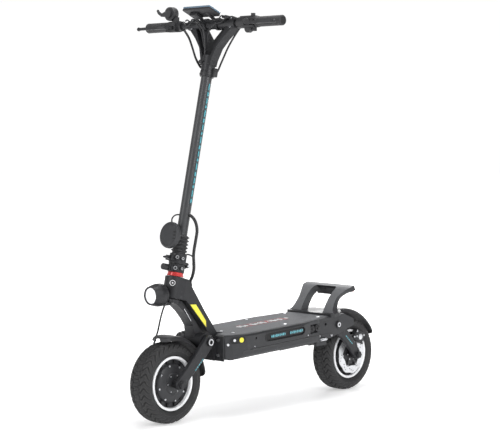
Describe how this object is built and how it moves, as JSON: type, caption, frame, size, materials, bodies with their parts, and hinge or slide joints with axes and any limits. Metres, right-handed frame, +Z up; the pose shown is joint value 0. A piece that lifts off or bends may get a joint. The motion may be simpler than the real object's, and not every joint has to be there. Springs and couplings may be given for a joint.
{
  "type": "electric kick scooter",
  "caption": "Off-road electric kick scooter: sprung swing arms, hub-motor wheels, fold-down stem with a V-shaped yoke, wide deck and a raised rear footrest.",
  "frame": {"origin": "on the ground, in the middle plane, midway between the two axles", "axes": "+X forward in the direction of travel, +Y to the rider's left, +Z up"},
  "size_m": [1.1245, 0.617, 1.315],
  "materials": {
    "dark_metal": "satin black powder coat",
    "footrest_metal": "satin grey powder coat",
    "motor_shell": "satin black cast aluminium",
    "alu_black": "satin black anodised",
    "bolt_steel": "brushed zinc-plated steel",
    "disc_steel": "ground stainless steel",
    "tyre": "matt black tyre rubber",
    "rubber": "matt black rubber",
    "deck_rubber": "grey grip mat",
    "white_ring": "gloss white",
    "yellow": "gloss yellow reflector",
    "red": "gloss red",
    "teal_light": "lit teal diffuser",
    "lens": "frosted white lens",
    "black_plastic": "matt black moulded plastic",
    "screen": "gloss blue-black display glass",
    "battery": "blue shrink wrap",
    "controller": "bare cast aluminium"
  },
  "bodies": {
    "chassis": {"neck_frame": "alu_black", "neck_lights": "yellow", "deck_tub": "alu_black", "deck_plate": "alu_black", "deck_grip": "deck_rubber", "chassis_bolts": "bolt_steel", "battery_pack": "battery", "motor_controllers": "controller", "side_lights": "teal_light", "charge_cap": "yellow", "front_bracket": "dark_metal", "rear_bracket": "alu_black", "footrest": "footrest_metal", "tail_light": "red", "rear_fender": "black_plastic", "head_bearings": "bolt_steel", "rear_pivot_pin": "bolt_steel"},
    "power_button": {"power_button": "bolt_steel"},
    "kickstand": {"kickstand": "dark_metal"},
    "fork": {"fork_frame": "alu_black", "steering_collar": "red", "lower_clamp": "alu_black", "fold_pin": "bolt_steel", "headlight_body": "alu_black", "headlight_lens": "lens", "front_fender": "black_plastic", "front_pivot_pin": "bolt_steel", "front_hose": "rubber"},
    "clamp_knob": {"clamp_knob": "black_plastic"},
    "front_arm": {"front_arms": "alu_black", "front_axle": "bolt_steel", "front_caliper": "alu_black"},
    "front_wheel": {"front_tyre": "tyre", "front_rim": "white_ring", "front_motor": "motor_shell", "front_disc": "disc_steel"},
    "rear_arm": {"rear_arms": "alu_black", "rear_axle": "bolt_steel", "rear_caliper": "alu_black"},
    "rear_wheel": {"rear_tyre": "tyre", "rear_rim": "white_ring", "rear_motor": "motor_shell", "rear_disc": "disc_steel"},
    "stem": {"stem_tube": "alu_black", "stem_light": "teal_light", "upper_clamp": "alu_black", "bellows": "rubber", "horn": "alu_black", "yoke": "alu_black", "handlebar": "alu_black", "grips": "rubber", "display_housing": "black_plastic", "display_glass": "screen", "control_pods": "black_plastic", "cable_loom": "rubber"},
    "clamp_lever": {"clamp_lever": "dark_metal"},
    "brake_lever_left": {"brake_lever_left": "alu_black"},
    "brake_lever_right": {"brake_lever_right": "alu_black"},
    "throttle_trigger": {"throttle_trigger": "black_plastic"},
    "horn_button": {"horn_button": "red"}
  },
  "joints": [
    {"name": "steering", "type": "hinge", "parent": "chassis", "child": "fork", "pos_m": [0.3963, 0, 0.42305], "axis": [-0.2233, 0, 0.9748], "range_deg": [-40, 40]},
    {"name": "front_suspension", "type": "hinge", "parent": "fork", "child": "front_arm", "pos_m": [0.303, 0, 0.2475], "axis": [0, -1, 0], "range_deg": [-1, 6], "stiffness_Nm_per_rad": 576, "springref_deg": -2.01, "deforming": ["front_hose"]},
    {"name": "rear_suspension", "type": "hinge", "parent": "chassis", "child": "rear_arm", "pos_m": [-0.303, 0, 0.2475], "axis": [0, 1, 0], "range_deg": [-1, 5], "stiffness_Nm_per_rad": 576, "springref_deg": -2.01},
    {"name": "front_wheel_spin", "type": "hinge", "parent": "front_arm", "child": "front_wheel", "pos_m": [0.431, 0, 0.1275], "axis": [0, 1, 0], "continuous": true},
    {"name": "rear_wheel_spin", "type": "hinge", "parent": "rear_arm", "child": "rear_wheel", "pos_m": [-0.431, 0, 0.1275], "axis": [0, 1, 0], "continuous": true},
    {"name": "stem_fold", "type": "hinge", "parent": "fork", "child": "stem", "pos_m": [0.34654, 0, 0.48808], "axis": [0, -1, 0], "range_deg": [0, 84], "deforming": ["cable_loom"]},
    {"name": "clamp_knob_turn", "type": "hinge", "parent": "fork", "child": "clamp_knob", "pos_m": [0.4251, 0, 0.4902], "axis": [0.9748, 0, 0.2233], "range_deg": [-180, 180]},
    {"name": "clamp_lever_swing", "type": "hinge", "parent": "stem", "child": "clamp_lever", "pos_m": [0.40936, 0, 0.51836], "axis": [0, -1, 0], "range_deg": [0, 65]},
    {"name": "brake_left", "type": "hinge", "parent": "stem", "child": "brake_lever_left", "pos_m": [0.2339, 0.169, 1.252], "axis": [0, 0, 1], "range_deg": [0, 8], "stiffness_Nm_per_rad": 2, "springref_deg": -5.73},
    {"name": "brake_right", "type": "hinge", "parent": "stem", "child": "brake_lever_right", "pos_m": [0.2339, -0.169, 1.252], "axis": [0, 0, -1], "range_deg": [0, 8], "stiffness_Nm_per_rad": 2, "springref_deg": -5.73},
    {"name": "throttle", "type": "hinge", "parent": "stem", "child": "throttle_trigger", "pos_m": [0.2354, -0.178, 1.293], "axis": [1, 0, 0], "range_deg": [0, 30], "stiffness_Nm_per_rad": 0.5, "springref_deg": -17.19},
    {"name": "horn_press", "type": "slide", "parent": "stem", "child": "horn_button", "axis": [0, 0, -1], "range_m": [0, 0.0025], "stiffness_N_per_m": 500, "springref_m": -0.001},
    {"name": "power_press", "type": "slide", "parent": "chassis", "child": "power_button", "axis": [-0.3105, -0.9505, 0.0108], "range_m": [0, 0.002], "stiffness_N_per_m": 500, "springref_m": -0.001},
    {"name": "kickstand_swing", "type": "hinge", "parent": "chassis", "child": "kickstand", "pos_m": [-0.215, 0.066, 0.196], "axis": [0, 1, 0], "range_deg": [0, 80]}
  ]
}
